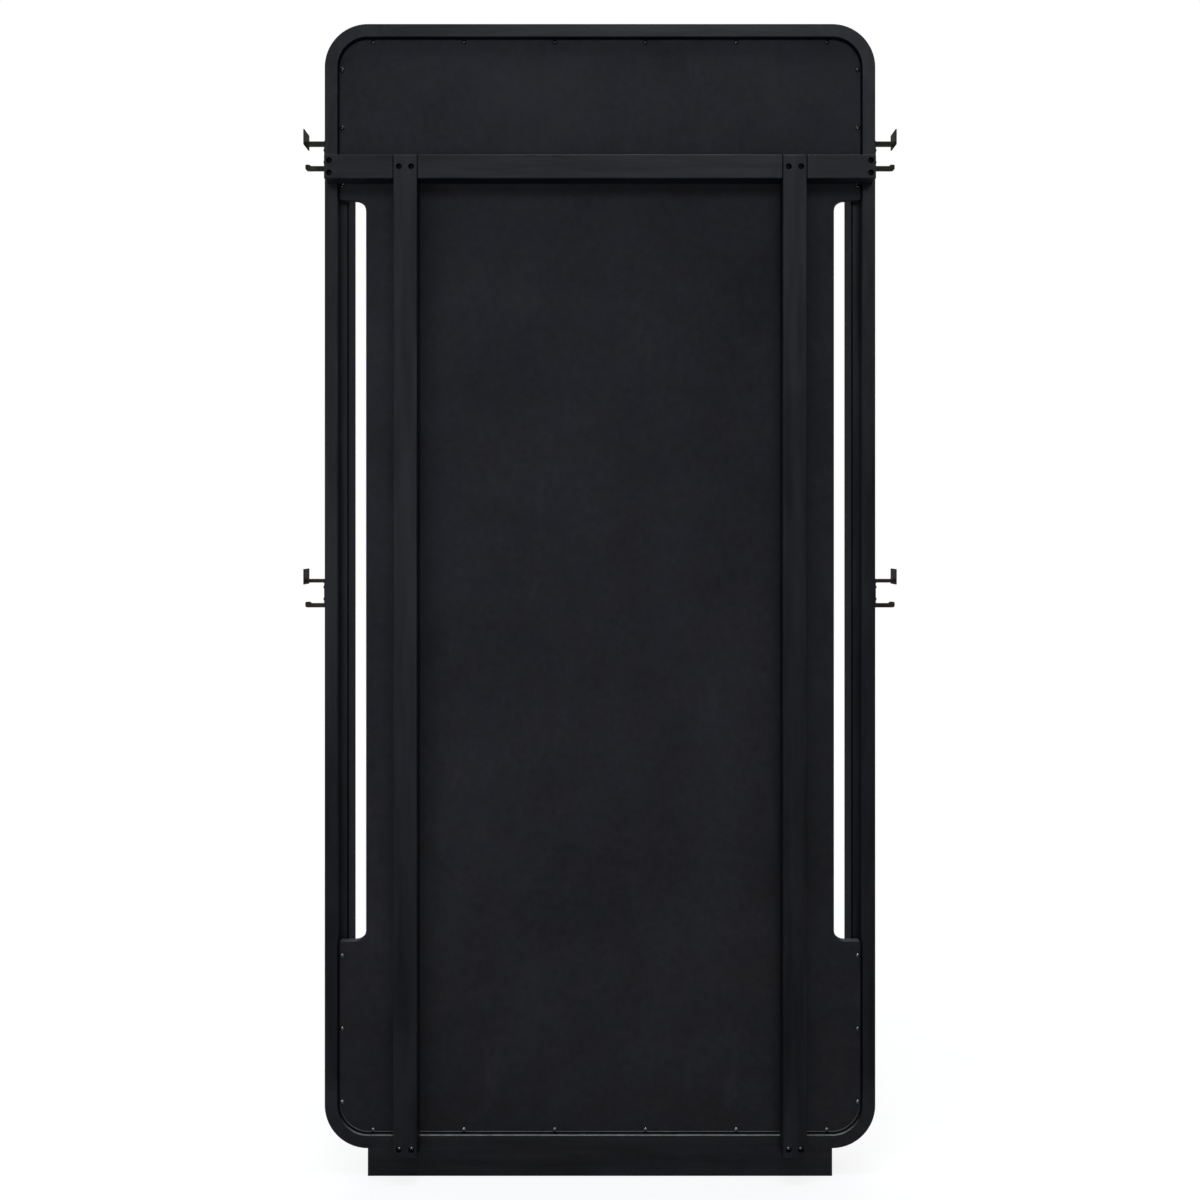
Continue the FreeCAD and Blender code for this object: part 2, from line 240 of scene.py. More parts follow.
# Near-black heads for the batten screws: black screws darkened further as painted shade of the recesses they
# sit in
shaded_screw_finish = {"tones": ((0.0015, 0.0015, 0.0018), (0.003, 0.003, 0.0035)), "gloss": 0.4, "grit": 0.1}
# Painted shade: a near-black lining for the recesses of the batten screws
recess_shade_finish = {"tones": ((0.0010, 0.0010, 0.0013), (0.0024, 0.0024, 0.0030)), "gloss": 0.70, "grit": 0.20}
bronze_finish = {"tones": ((0.016, 0.014, 0.010), (0.032, 0.027, 0.019)), "gloss": 0.50, "grit": 0.25}
bare_metal = {"metallic": 1.0, "specular": 0.5}
dull_coating = {"metallic": 0.0, "specular": 0.06}
matt_coating = {"metallic": 0.0, "specular": 0.04}
metal_gloss_spread = (-0.08, 0.10)

# Glass, foam and raw wood
silver_tones = ((0.86, 0.88, 0.88), (0.90, 0.92, 0.915))
silver_roughness = (0.015, 0.035)
glass_tones = ((0.16, 0.26, 0.23), (0.30, 0.42, 0.38))
glass_roughness = (0.25, 0.42)
backing_tones = ((0.17, 0.18, 0.19), (0.22, 0.23, 0.24))
backing_roughness = (0.5, 0.62)
foam_tones = ((0.62, 0.62, 0.60), (0.78, 0.78, 0.76))
foam_roughness = 0.85
raw_wood_tones = ((0.46, 0.30, 0.16), (0.64, 0.46, 0.28))
raw_wood_roughness = 0.6

# Camera
camera_place = (0.0, -1.5555, 1.1214)
camera_sensor = 0.036
camera_focal = 0.02658
picture_size = 1200          # pixels
picture_shift = -70          # pixels
millimetres = 1000           # in a metre

# Stage
floor_radius = 12.0
floor_segments = 64
floor_colour = (0.20, 0.20, 0.20)
floor_mottle = 0.99          # of the floor's colour, in its darker patches
floor_lift_near = 0.815
floor_lift_far = 0.92
floor_near_far = (0.8, 4.5)  # distances from the mirror
floor_mirrored = 0.70        # of the lift, in the mirror
floor_mirrored_span = (0.0, 0.1)  # places along Y
ambient_front = 0.14         # from the side of the camera
ambient_back = 0.90          # from beyond the mirror
ambient_span = (-0.3, 0.5)   # directions along Y
ambient_mirrored_span = (0.0, 0.3)
white = (1.0, 1.0, 1.0, 1.0)

# Lamps
cool_light = (0.88, 0.93, 1.0)
warm_light = (1.0, 0.96, 0.98)
lamps = {
    "key": {"place": (0.0, -3.2, 3.55), "target": (0.0, 0.0, 1.6), "size": (5.6, 2.2), "radiance": 1.18},
    "overhead": {"place": (0.15, -0.35, 4.6), "target": (0.0, -0.1, 0.0), "size": (1.6, 0.5),
                 "radiance": 30.0},
    "left_sheen": {"place": (-0.75, -2.8, 0.98), "target": (-0.2, 0.0, 1.05), "size": (2.2, 0.7),
                   "radiance": 2.8, "diffused": False},
    "side_fill": {"place": (-1.3, -0.9, 1.2), "target": (0.0, 0.0, 1.2), "size": (0.6, 0.9),
                  "radiance": 4.0, "mirrored": False},
    "floor_bounce": {"place": (0.0, -1.05, 0.02), "target": (0.0, -1.05, 1.0), "size": (2.6, 1.9),
                     "radiance": 0.55, "colour": warm_light, "mirrored": False},
    "low_fill": {"place": (0.62, -2.1, 0.35), "target": (0.0, 0.0, 0.25), "size": (1.2, 0.6),
                 "radiance": 3.4, "colour": warm_light, "mirrored": False},
    "accent": {"place": (1.0, -3.2, 3.4), "target": (0.3, 0.0, 1.8), "size": (1.2, 1.4), "radiance": 1.6},
    "top_fill": {"place": (0.0, -1.6, 2.7), "target": (0.0, 0.0, 1.85), "size": (1.0, 0.5),
                 "radiance": 5.0, "mirrored": False},
    "front_fill": {"place": (-1.6, 3.2, 2.6), "target": (0.0, 0.0, 1.0), "size": (2.0, 2.0),
                   "radiance": 2.0, "mirrored": False},
}


# Materials

def scaled(values, factor):
    """A colour or a pair of values, all multiplied by a factor."""
    return tuple(value * factor for value in values)


def spread(value, offsets):
    """A value with each of some offsets added."""
    return tuple(value + offset for offset in offsets)


class Nodes:
    """A node tree, with short ways to add nodes to it."""

    def __init__(self, tree):
        self.tree = tree

    def feed(self, socket, value):
        """Gives a socket its value: a number or colour, or another node's output."""
        if isinstance(value, bpy.types.NodeSocket):
            self.tree.links.new(value, socket)
        else:
            socket.default_value = value

    def add(self, kind, **values):
        """A node with values for its inputs."""
        node = self.tree.nodes.new(kind)
        for key, value in values.items():
            self.feed(node.inputs[key.replace("_", " ")], value)
        return node

    def between(self, value, low, high, span=usual_span):
        """Turns a value within a span into one between low and high."""
        first, last = span
        node = self.add("ShaderNodeMapRange", Value=value, From_Min=first, From_Max=last,
                        To_Min=low, To_Max=high)
        return node.outputs["Result"]

    def ramp(self, value, tones, span=usual_span):
        """A colour between two tones, by a value within a span."""
        node = self.add("ShaderNodeValToRGB", Fac=value)
        for element, position, tone in zip(node.color_ramp.elements, span, tones):
            element.position = position
            element.color = (*tone, 1.0)
        return node.outputs["Color"]

    def math(self, operation, first, second=0.0):
        """The result of an operation on one or two values."""
        node = self.tree.nodes.new("ShaderNodeMath")
        node.operation = operation
        for socket, value in zip(node.inputs, (first, second)):
            self.feed(socket, value)
        return node.outputs["Value"]

    def product(self, first, *others):
        """All the values, multiplied."""
        for value in others:
            first = self.math("MULTIPLY", first, value)
        return first

    def blend(self, values, shares):
        """The sum of some values, each taken by its share."""
        first, *others = [self.math("MULTIPLY", value, share) for value, share in zip(values, shares)]
        for value in others:
            first = self.math("ADD", first, value)
        return first

    def length(self, *sides):
        """The length of a vector with these sides."""
        squares = [self.math("MULTIPLY", side, side) for side in sides]
        return self.math("SQRT", self.math("ADD", *squares))

    def axes(self, vector):
        """A vector's X, Y and Z."""
        return self.add("ShaderNodeSeparateXYZ", Vector=vector).outputs

    def backdrop_share(self, mirrored_share):
        """1 for what is seen straight or through glass, and a share for what shiny surfaces mirror."""
        path = self.tree.nodes.new("ShaderNodeLightPath").outputs
        straight = self.math("MAXIMUM", path["Is Camera Ray"], path["Is Transmission Ray"])
        return self.math("MAXIMUM", straight, self.math("MULTIPLY", path["Is Glossy Ray"], mirrored_share))


class Paint(Nodes):
    """A material's node tree."""

    def __init__(self, name):
        self.material = bpy.data.materials.new(name)
        self.material.use_nodes = True
        super().__init__(self.material.node_tree)
        self.tree.nodes.clear()
        self.output = self.tree.nodes.new("ShaderNodeOutputMaterial")
        self.position = self.tree.nodes.new("ShaderNodeTexCoord").outputs["Object"]
        self.place = self.axes(self.position)
        self.facing = self.axes(self.add("ShaderNodeNewGeometry").outputs["Normal"])

    def noise(self, scale, detail=4.0, roughness=0.55, stretch=(1.0, 1.0, 1.0)):
        """A value from 0 to 1 that varies over the surface, stretched along some axes."""
        place = self.add("ShaderNodeMapping", Vector=self.position, Scale=stretch).outputs["Vector"]
        node = self.add("ShaderNodeTexNoise", Vector=place, Scale=scale, Detail=detail, Roughness=roughness)
        return node.outputs["Fac"]

    def covered(self, colour, share, cover):
        """The colour, with a share of another one over it."""
        node = self.tree.nodes.new("ShaderNodeMix")
        node.data_type = "RGBA"
        values = {"Factor_Float": share, "A_Color": colour, "B_Color": (*cover, 1.0)}
        for socket in node.inputs:
            if socket.identifier in values:
                self.feed(socket, values[socket.identifier])
        return next(socket for socket in node.outputs if socket.identifier == "Result_Color")

    def tinted(self, colour):
        """The colour, a little warmer in some patches and cooler in others."""
        tint = self.ramp(self.noise(**tint_patch), (warm_tint, cool_tint), tint_span)
        node = self.tree.nodes.new("ShaderNodeVectorMath")
        node.operation = "MULTIPLY"
        for socket, value in zip(node.inputs, (colour, tint)):
            self.feed(socket, value)
        return node.outputs["Vector"]

    def dusted_and_highlit(self, colour, most, ledge=whole_depth, near_floor=0.0):
        """The colour, paler on ledges that face up, a dusty film with a painted highlight of light from
        above, all of it behind the ledge's first place along Y and none in front of its second, and paler
        near the floor."""
        # Up-facing faces are paled: a dusty film together with a painted highlight of the light from above
        layer = self.product(self.between(self.facing["Z"], 0.0, most, ledge_facing),
                             self.between(self.place["Y"], 1.0, 0.0, ledge))
        layer = self.math("ADD", layer, self.between(self.place["Z"], near_floor, 0.0, paling_span))
        patchy = self.product(layer, self.between(self.noise(**dust_and_highlight_patch), *dust_and_highlight_patchiness))
        return self.covered(colour, patchy, dust_and_highlight_colour)

    def lit_beside_slots(self, colour, wall_light):
        """The colour, paler on the walls of a stile's rebate where the panel leaves a slot: painted light
        those walls catch.
        """
        aside = self.math("ABSOLUTE", self.place["X"])
        share = self.product(
            self.between(self.facing["Y"], 0.0, 1.0, wall_facing),
            self.between(self.place["Z"], 0.0, 1.0, (slot_bottom - wall_light_fade, slot_bottom)),
            self.between(self.place["Z"], 1.0, 0.0, (slot_top, slot_top + wall_light_fade)),
            self.between(aside, 1.0, 0.0, (half_width - 2 * wall_light_fade, half_width - wall_light_fade)),
            self.between(self.place["Y"], 1.0, 0.0, (wall_light_fade, 2 * wall_light_fade)),
        )
        return self.covered(colour, share, wall_light)

    def rim_worn_and_highlit(self, colour, patches):
        """The colour, with a thin paler line along the panel's lower rim and round its corners: wear with a
        painted highlight.
        """
        aside = self.math("ADD", self.math("ABSOLUTE", self.place["X"]), panel_low.x + panel_corner_radius)
        below = self.math("SUBTRACT", panel_low.z + panel_corner_radius, self.place["Z"])
        reach = self.length(*[self.math("MAXIMUM", side) for side in (aside, below)])
        inward = self.math("SUBTRACT", panel_corner_radius, reach)
        share = self.product(
            self.between(inward, 0.0, 1.0, (rim_line_inset, 2 * rim_line_inset)),
            self.between(inward, 1.0, 0.0, (2 * rim_line_inset, rim_line_width)),
            self.between(self.place["Z"], 1.0, 0.0, (panel_low.z, rim_line_top)),
            self.between(patches, *rim_line_patchiness),
        )
        return self.covered(colour, share, rim_wear_and_highlight_colour)

    def bump(self, height, distance, strength, normal=None):
        """A normal tilted by a fine relief, which may lie on another relief."""
        node = self.add("ShaderNodeBump", Height=height, Distance=distance, Strength=strength)
        if normal:
            self.tree.links.new(normal, node.inputs["Normal"])
        return node.outputs["Normal"]

    def surface(self, **values):
        """Ends the material with a principled shader."""
        shader = self.add("ShaderNodeBsdfPrincipled", **values)
        self.tree.links.new(shader.outputs["BSDF"], self.output.inputs["Surface"])
        return self.material


def painted_wood(name, stretch, tones, gloss, specular, slot_wall_light=None, dust_and_highlight=0.0, near_floor=0.0):
    """Satin black paint on wood: faint grain along the member and mottled gloss. Ledges may be dusty with a
    painted highlight, the paint may be paler near the floor, and a rebate's walls may take painted light.
    """
    paint = Paint(name)
    grain = paint.noise(**wood_grain, stretch=stretch)
    cloud = paint.noise(**paint_cloud)
    speck = paint.noise(**paint_speck)
    colour = paint.tinted(paint.ramp(paint.blend((grain, cloud), wood_shares), tones, wood_span))
    fleck = paint.between(speck, 0.0, fleck_share, fleck_span)
    colour = paint.covered(colour, fleck, scaled(tones[1], fleck_gain))
    # Painted light on the rebate's walls beside the slots
    if slot_wall_light:
        colour = paint.lit_beside_slots(colour, slot_wall_light)
    colour = paint.dusted_and_highlit(colour, dust_and_highlight, frame_ledge, near_floor)
    roughness = paint.between(paint.blend((cloud, grain), gloss_shares), *spread(gloss, wood_gloss_spread))
    normal = paint.bump(speck, *speck_relief, paint.bump(grain, *grain_relief))
    sheen = paint.between(grain, *scaled(sheen_spread, specular), wood_span)
    return paint.surface(Base_Color=colour, Roughness=roughness, Normal=normal, Specular_IOR_Level=sheen)


def board(name):
    """A matt black board: a fine felted face with soft clouds, a few faint scuffs, and a thin paler lower
    rim that is wear with a painted highlight. Its up-facing ledges are dusty with a painted highlight.
    """
    paint = Paint(name)
    cloud = paint.noise(**board_cloud)
    felt = paint.noise(**board_felt)
    scuff = paint.noise(**board_scuff)
    mottle = paint.noise(**board_mottle)
    shade = paint.blend((cloud, mottle, felt), board_shares)
    colour = paint.tinted(paint.ramp(shade, board_tones, board_span))
    mark = paint.between(scuff, 0.0, scuff_share, scuff_span)
    colour = paint.covered(colour, mark, scaled(board_tones[1], scuff_gain))
    colour = paint.dusted_and_highlit(paint.rim_worn_and_highlit(colour, scuff), panel_dust_and_highlight)
    roughness = paint.between(felt, *board_roughness)
    normal = paint.bump(felt, *felt_relief)
    return paint.surface(Base_Color=colour, Roughness=roughness, Normal=normal,
                         Specular_IOR_Level=board_specular)


def metal(name, tones, gloss, grit, metallic, specular):
    """Plated or aged metal: clouded colour and gloss, with a fine cast or rolled grit."""
    paint = Paint(name)
    cloud = paint.noise(**metal_cloud)
    colour = paint.ramp(cloud, tones, metal_span)
    roughness = paint.between(cloud, *spread(gloss, metal_gloss_spread))
    normal = paint.bump(paint.noise(**metal_grit), grit_depth, grit)
    return paint.surface(Base_Color=colour, Roughness=roughness, Normal=normal, Metallic=metallic,
                         Specular_IOR_Level=specular)


def mirror_face(name):
    """Silvered glass seen from its front, with the faintest film of dust."""
    paint = Paint(name)
    film = paint.noise(**mirror_film)
    colour = paint.ramp(film, silver_tones)
    return paint.surface(Base_Color=colour, Roughness=paint.between(film, *silver_roughness), Metallic=1.0)


def glass_edge(name):
    """The ground edge of float glass, a clouded green."""
    paint = Paint(name)
    cloud = paint.noise(**glass_cloud)
    colour = paint.ramp(cloud, glass_tones)
    return paint.surface(Base_Color=colour, Roughness=paint.between(cloud, *glass_roughness))


def backing_paint(name):
    """The grey protective paint on a mirror's back."""
    paint = Paint(name)
    cloud = paint.noise(**backing_cloud)
    colour = paint.ramp(cloud, backing_tones)
    return paint.surface(Base_Color=colour, Roughness=paint.between(cloud, *backing_roughness))


def foam(name):
    """White closed-cell foam, finely pitted."""
    paint = Paint(name)
    cells = paint.noise(**foam_cells)
    colour = paint.ramp(cells, foam_tones)
    return paint.surface(Base_Color=colour, Normal=paint.bump(cells, *foam_relief), Roughness=foam_roughness)


def raw_wood(name):
    """Unpainted hardwood with fine streaks."""
    paint = Paint(name)
    streak = paint.noise(**wood_streak)
    colour = paint.ramp(streak, raw_wood_tones)
    normal = paint.bump(streak, *streak_relief)
    return paint.surface(Base_Color=colour, Normal=normal, Roughness=raw_wood_roughness)


ledge_and_low_cover = {"dust_and_highlight": frame_dust_and_highlight, "near_floor": floor_paling}
stile_paint = painted_wood("stile_paint", grain_along_z, **frame_finish, slot_wall_light=painted_wall_light)
rail_paint = painted_wood("rail_paint", grain_along_x, **frame_finish, **ledge_and_low_cover)
corner_paint = painted_wood("corner_paint", grain_all_ways, **frame_finish, **ledge_and_low_cover)
base_paint = painted_wood("base_paint", grain_along_x, **frame_finish, near_floor=floor_paling)
# A painted sheen: the black paint made paler and matt for the faces beside the opening
inner_sheen_paint = painted_wood("inner_sheen_paint", grain_all_ways, **inner_sheen_finish)
brace_paint = painted_wood("brace_paint", grain_along_z, **batten_finish, near_floor=brace_paling)
cross_rail_paint = painted_wood("cross_rail_paint", grain_along_x, **batten_finish)
panel_face = board("panel_face")
screw_black = metal("screw_black", **black_screw_finish, **bare_metal)
screw_lit = metal("screw_lit", **lit_screw_finish, **bare_metal)
screw_shaded = metal("screw_shaded", **shaded_screw_finish, **dull_coating)
# recess_shade is painted shade, not metal, though it uses the metal recipe
recess_shade = metal("recess_shade", **recess_shade_finish, **matt_coating)
bronze = metal("bronze", **bronze_finish, **matt_coating)
silvering = mirror_face("silvering")
ground_edge = glass_edge("ground_edge")
backing = backing_paint("backing")
foam_white = foam("foam_white")
beech = raw_wood("beech")


# Meshes

def outline(corners, steps=arc_steps):
    """Points round a flat shape. Its corners are (a, b, radius)."""
    points = []
    for index, (a, b, radius) in enumerate(corners):
        corner = Vector((a, b))
        before = (Vector(corners[index - 1][:2]) - corner).normalized()
        after = (Vector(corners[(index + 1) % len(corners)][:2]) - corner).normalized()
        half_angle = before.angle(after) / 2
        if not radius:
            points.append(corner)
            continue
        start = corner + before * (radius / math.tan(half_angle))
        centre = corner + (before + after).normalized() * (radius / math.sin(half_angle))
        sweep = math.pi - 2 * half_angle
        sense = 1 if before.cross(after) < 0 else -1
        for step in range(steps + 1):
            points.append(centre + Matrix.Rotation(sense * sweep * step / steps, 2) @ (start - centre))
    return points


def rectangle(a_low, b_low, a_high, b_high, radius):
    """The corners of a rectangle, all rounded by one radius."""
    corners = ((a_low, b_low), (a_high, b_low), (a_high, b_high), (a_low, b_high))
    return [(a, b, radius) for a, b in corners]


def inset(points, distance):
    """The outline, drawn in by a distance."""
    area = sum(points[i - 1].cross(points[i]) for i in range(len(points)))
    sense = 1 if area > 0 else -1
    result = []
    for index, point in enumerate(points):
        before = (point - points[index - 1]).normalized()
        after = (points[(index + 1) % len(points)] - point).normalized()
        normal_before = Vector((-before.y, before.x)) * sense
        normal_after = Vector((-after.y, after.x)) * sense
        middle = (normal_before + normal_after).normalized()
        result.append(point + middle * (distance / max(middle.dot(normal_after), inset_cosine_least)))
    return result


def dressed(name, mesh, *materials):
    """An object with a mesh and materials, smooth but for its sharp edges, that rides on the one body."""
    piece = bpy.data.objects.new(name, mesh)
    bpy.context.scene.collection.objects.link(piece)
    while len(mesh.materials) > len(materials):
        mesh.materials.pop()
    while len(mesh.materials) < len(materials):
        mesh.materials.append(None)
    for index, material in enumerate(materials):
        mesh.materials[index] = material
    mesh.polygons.foreach_set("use_smooth", [True] * len(mesh.polygons))
    mesh.set_sharp_from_angle(angle=sharp_angle)
    weighted = piece.modifiers.new("flat faces stay flat", "WEIGHTED_NORMAL")
    weighted.keep_sharp = True
    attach(piece, "root")
    return piece


def finished_mesh(name, build):
    """The mesh of a build, with its faces turned outward."""
    bmesh.ops.recalc_face_normals(build, faces=build.faces)
    mesh = bpy.data.meshes.new(name)
    build.to_mesh(mesh)
    build.free()
    return mesh


def mesh_object(name, build, *materials):
    return dressed(name, finished_mesh(name, build), *materials)


def loft(build, rings, second_rows=()):
    """Faces along a row of rings of points, with a cap at each end. Some rows have the second material."""
    rows = [[build.verts.new(point) for point in ring] for ring in rings]
    for low, high in zip(rows, rows[1:]):
        for index in range(len(low)):
            face = build.faces.new((low[index - 1], low[index], high[index], high[index - 1]))
            face.material_index = second_slot if index in second_rows else 0
    build.faces.new(rows[0])
    build.faces.new(list(reversed(rows[-1])))


def slab(build, points, place, depth, radius, steps=edge_steps):
    """A flat shape given depth, with edges rounded by less than its corners are.
    place turns (a, b, depth) into a point."""
    turns = [math.pi / 2 * step / steps for step in range(steps + 1)]
    levels = [(radius * (1 - math.sin(turn)), radius * (1 - math.cos(turn))) for turn in turns]
    levels += [(drawn_in, depth - level) for drawn_in, level in reversed(levels)]
    rings = []
    for drawn_in, level in levels:
        rings.append([place(point.x, point.y, level) for point in inset(points, drawn_in)])
    loft(build, rings)


def revolve(build, profile, steps, place):
    """A round shape from its profile of (radius, height), which starts and ends on the axis."""
    ends = [build.verts.new(place(0, 0, height)) for _, height in (profile[0], profile[-1])]
    turns = [2 * math.pi * step / steps for step in range(steps)]
    rows = [
        [build.verts.new(place(radius * math.cos(turn), radius * math.sin(turn), height)) for turn in turns]
        for radius, height in profile[1:-1]
    ]
    for low, high in zip(rows, rows[1:]):
        for index in range(steps):
            build.faces.new((low[index - 1], low[index], high[index], high[index - 1]))
    for index in range(steps):
        build.faces.new((rows[0][index], rows[0][index - 1], ends[0]))
        build.faces.new((rows[-1][index - 1], rows[-1][index], ends[1]))


def combined(name, build, others, operation, overlapping=False):
    """The mesh of a build after closed shapes, which may overlap, are cut from it or joined to it."""
    objects = []
    for part, tag in ((build, "body"), (others, "others")):
        mesh = finished_mesh(f"{name}_{tag}", part)
        for _ in range(second_slot + 1):
            mesh.materials.append(None)
        objects.append(bpy.data.objects.new(mesh.name, mesh))
        bpy.context.scene.collection.objects.link(objects[-1])
    body, other = objects
    modifier = body.modifiers.new("combine", "BOOLEAN")
    modifier.operation = operation
    modifier.solver = "EXACT"
    modifier.use_self = overlapping
    modifier.object = other
    shown = body.evaluated_get(bpy.context.evaluated_depsgraph_get())
    mesh = bpy.data.meshes.new_from_object(shown)
    for used in objects:
        bpy.data.objects.remove(used)
    return mesh


def screw_places(node):
    """The boxes of the separate screws in a CAD node, as (lowest corner, highest corner)."""
    groups = []
    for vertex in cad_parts[node].data.vertices:
        for group in groups:
            if (group[0] - vertex.co).length < screw_spacing_least:
                group.append(vertex.co.copy())
                break
        else:
            groups.append([vertex.co.copy()])
    boxes = []
    for group in groups:
        low = Vector([min(point[axis] for point in group) for axis in range(3)])
        high = Vector([max(point[axis] for point in group) for axis in range(3)])
        boxes.append((low, high))
    return boxes


# Frame, panel and glass

# The section of a stile or rail, from its outer back edge: inward, then towards the front
section = outline([
    (0, 0, frame_edge_radius),
    (back_face_width, 0, frame_edge_radius),
    (back_face_width, rebate_depth, 0),
    (member_width - seam_inset - seam_width, rebate_depth, 0),
    (member_width - seam_inset - seam_width, rebate_depth + seam_depth, 0),
    (member_width - seam_inset, rebate_depth + seam_depth, 0),
    (member_width - seam_inset, rebate_depth, 0),
    (member_width, rebate_depth, frame_edge_radius),
    (member_width, frame_depth, frame_edge_radius),
    (0, frame_depth, frame_edge_radius),
], steps=edge_steps)
inner_rows = [
    index for index in range(len(section))
    if min(section[index - 1].x, section[index].x) > member_width - frame_edge_radius / 2
]


def straight_member(name, node, start, inward, along, length, material):
    """A stile or rail: the frame's section, carried along its length."""
    build = bmesh.new()
    rings = []
    for distance in (0, length):
        corner = start + along * distance
        rings.append([corner + inward * p.x + Vector((0, p.y, 0)) for p in section])
    loft(build, rings, inner_rows)
    piece = mesh_object(name, build, material, inner_sheen_paint)
    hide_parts(node)


def corner_block(name, node, side, end):
    """A quarter ring with a straight leg at each end; side and end are the signs of its corner."""
    low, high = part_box(node)
    leg = high.x - low.x - frame_corner_radius
    height = frame_top if end > 0 else frame_bottom
    centre_x = side * (half_width - frame_corner_radius)
    centre = Vector((centre_x, frame_back, height - end * frame_corner_radius))
    rings = []
    for step in range(frame_corner_steps + 1):
        turn = math.pi / 2 * step / frame_corner_steps
        outward = Vector((side * math.cos(turn), 0, end * math.sin(turn)))
        rings.append([centre + outward * (frame_corner_radius - p.x) + Vector((0, p.y, 0)) for p in section])
    upright = Vector((0, 0, -end * leg))
    lying = Vector((-side * leg, 0, 0))
    rings.insert(0, [point + upright for point in rings[0]])
    rings.append([point + lying for point in rings[-1]])
    build = bmesh.new()
    loft(build, rings, inner_rows)
    piece = mesh_object(name, build, corner_paint, inner_sheen_paint)
    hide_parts(node)


def build_frame():
    up = Vector((0, 0, 1))
    right = Vector((1, 0, 0))
    stile_length = left_stile_high.z - left_stile_low.z
    rail_length = bottom_rail_high.x - bottom_rail_low.x
    for name, side in (("left_stile", -1), ("right_stile", 1)):
        start = Vector((side * half_width, frame_back, left_stile_low.z))
        straight_member(name, "frame_" + name, start, -side * right, up, stile_length, stile_paint)
    for name, end, height in (("bottom_rail", -1, frame_bottom), ("top_rail", 1, frame_top)):
        start = Vector((bottom_rail_low.x, frame_back, height))
        straight_member(name, "frame_" + name, start, -end * up, right, rail_length, rail_paint)
    for end, level in ((-1, "bottom"), (1, "top")):
        for side, hand in ((-1, "left"), (1, "right")):
            corner_block(f"{level}_{hand}_corner", f"frame_{level}_{hand}_corner", side, end)


def build_panel():
    """The board with full-width ends and a narrow middle that leaves a slot beside each stile."""
    narrow = half_width - member_width - slot_width
    left_edge = [
        (panel_low.x, panel_low.z, panel_corner_radius),
        (panel_low.x, slot_bottom, ear_corner_radius),
        (-narrow, slot_bottom, slot_corner_radius),
        (-narrow, slot_top, slot_corner_radius),
        (panel_low.x, slot_top, ear_corner_radius),
        (panel_low.x, panel_high.z, panel_corner_radius),
    ]
    right_edge = [(-a, b, radius) for a, b, radius in reversed(left_edge)]
    thickness = panel_high.y - panel_low.y
    build = bmesh.new()
    slab(build, outline(left_edge + right_edge, steps=panel_arc_steps),
         lambda a, b, depth: Vector((a, panel_low.y + depth, b)), thickness, panel_edge_radius)
    piece = mesh_object("back_board", build, panel_face)
    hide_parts("back_panel")


def build_glass():
    """The mirror: silvered at its front, ground at its edges and painted at its back."""
    low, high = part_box("mirror_glass")
    build = bmesh.new()
    slab(build, outline(rectangle(low.x, low.z, high.x, high.z, glass_corner_radius)),
         lambda a, b, depth: Vector((a, low.y + depth, b)), high.y - low.y, glass_edge_flat, steps=1)
    materials = [silvering, ground_edge, backing]
    piece = mesh_object("mirror_sheet", build, *materials)
    for polygon in piece.data.polygons:
        facing = polygon.normal.y
        shown = silvering if facing > face_on else backing if facing < -face_on else ground_edge
        polygon.material_index = materials.index(shown)
    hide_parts("mirror_glass")


# Battens and base

def recess_cutters(boxes):
    """Round cutters for the recesses of batten screws, each with a slightly flared mouth."""
    radius = recess_diameter / 2
    cutters = bmesh.new()
    profile = [
        (0, 0),
        (radius, 0),
        (radius, recess_depth - recess_flare),
        (radius + recess_flare + cutter_reach, recess_depth + cutter_reach),
        (0, recess_depth + cutter_reach),
    ]
    for low, high in boxes:
        middle = (low + high) / 2
        seat = Vector((middle.x, high.y, middle.z))
        revolve(cutters, profile, head_steps, lambda a, b, height: seat + Vector((a, -height, b)))
    # The cut faces take a piece's second material, the painted shade of the recesses
    for face in cutters.faces:
        face.material_index = second_slot
    return cutters


def within(boxes, low, high):
    """The boxes whose middles lie within the span of another box, seen from the back."""
    inside = []
    for box in boxes:
        middle = (box[0] + box[1]) / 2
        if low.x < middle.x < high.x and low.z < middle.z < high.z:
            inside.append(box)
    return inside


def build_cross_rail():
    """The rail in plan: a bar notched at its back for the two braces."""
    low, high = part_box("cross_rail")
    lap = low.y + lap_depth
    corners = [(low.x, high.y, batten_corner_radius), (low.x, low.y, batten_corner_radius)]
    for brace in ("left_brace", "right_brace"):
        brace_low, brace_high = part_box(brace)
        corners += [
            (brace_low.x - lap_gap, low.y, batten_corner_radius),
            (brace_low.x - lap_gap, lap, 0),
            (brace_high.x + lap_gap, lap, 0),
            (brace_high.x + lap_gap, low.y, batten_corner_radius),
        ]
    corners += [(high.x, low.y, batten_corner_radius), (high.x, high.y, batten_corner_radius)]
    build = bmesh.new()
    slab(build, outline(corners, steps=edge_steps), lambda a, b, depth: Vector((a, b, low.z + depth)),
         high.z - low.z, batten_edge_radius)
    cutters = recess_cutters(screw_places("cross_rail_screws"))
    piece = dressed("back_cross_rail", combined("back_cross_rail", build, cutters, "DIFFERENCE"),
                    cross_rail_paint, recess_shade)
    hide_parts("cross_rail")


